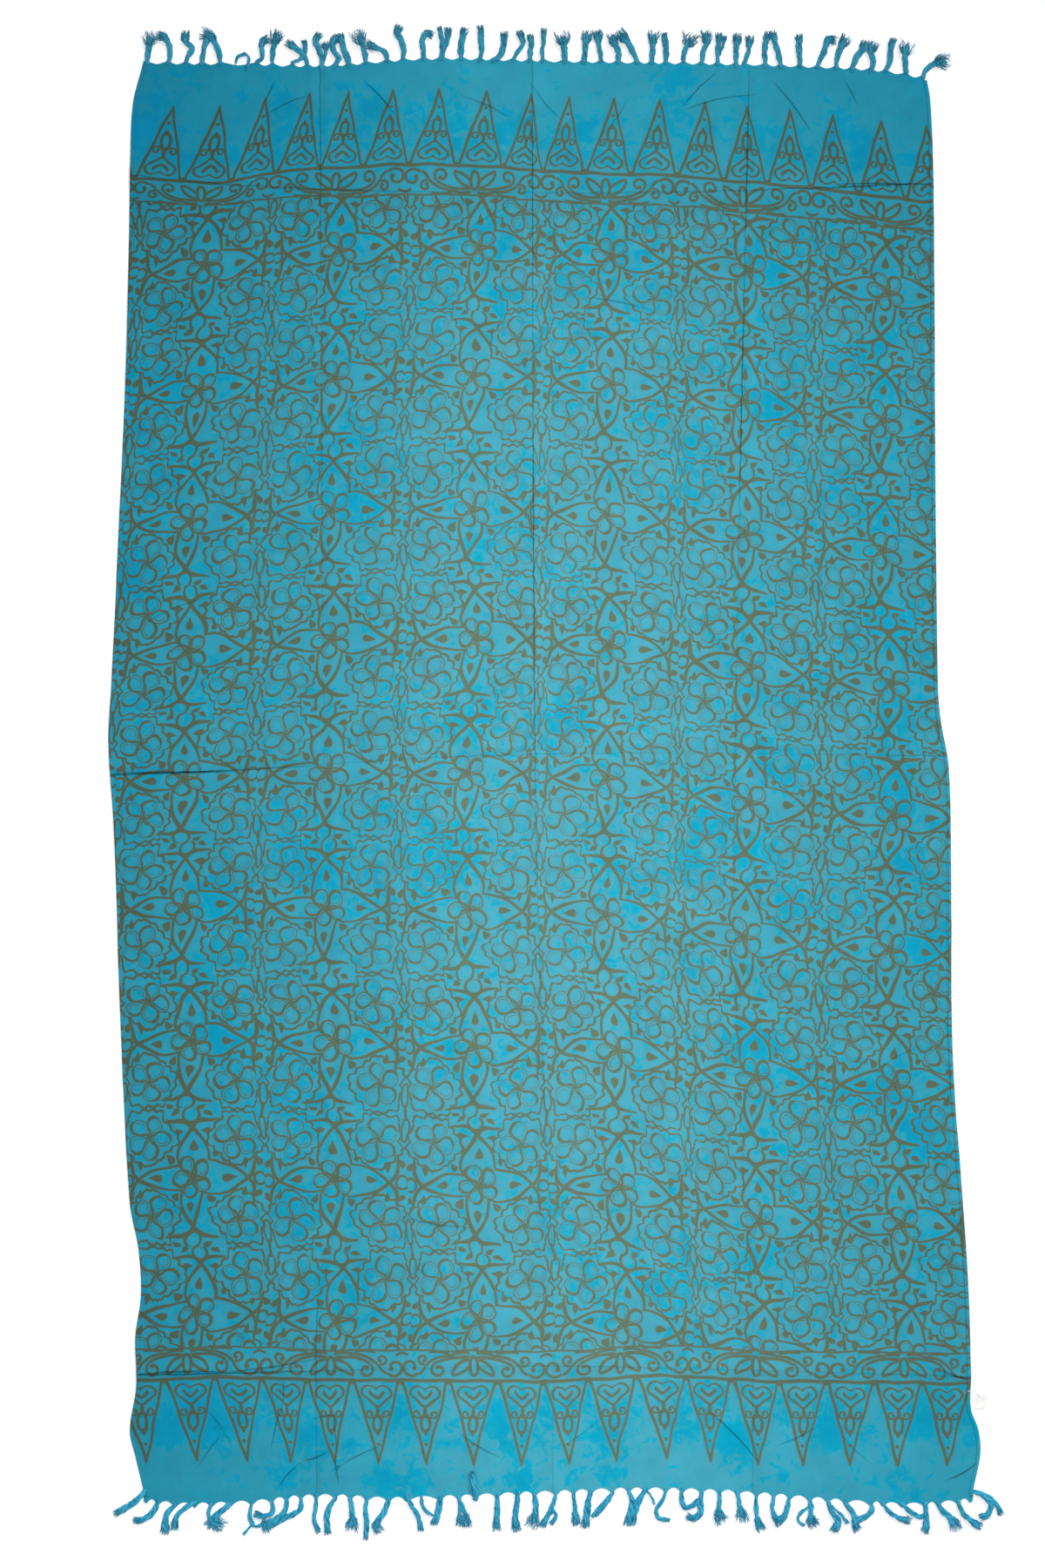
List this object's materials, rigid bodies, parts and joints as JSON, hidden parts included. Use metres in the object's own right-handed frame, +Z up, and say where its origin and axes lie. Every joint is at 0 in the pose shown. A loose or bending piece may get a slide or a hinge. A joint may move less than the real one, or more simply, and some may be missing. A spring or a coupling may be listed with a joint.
{
  "type": "batik sarong",
  "caption": "Rectangular printed sarong laid flat, with narrow rolled side hems, a twisted fringe along both ends and a small sewn-on label.",
  "frame": {"origin": "middle of the whole sarong seen from above, at the level of the floor it lies on", "axes": "+Z up out of the printed face, +Y along the cloth towards the end whose fringe is further from the label, +X across the cloth towards the hem that carries the label"},
  "size_m": [1.1206, 1.9083, 0.0061],
  "materials": {
    "dyed rayon": "matte printed plain weave",
    "rolled rayon edge": "matte rolled and stitched edge",
    "twisted rayon yarn": "matte twisted yarn with frayed ends",
    "white label satin": "soft white satin ribbon"
  },
  "bodies": {
    "root": {"cloth": "dyed rayon", "side_hem_left": "rolled rayon edge", "side_hem_right": "rolled rayon edge", "fringe_top": "twisted rayon yarn", "fringe_bottom": "twisted rayon yarn", "label": "white label satin"}
  },
  "joints": []
}
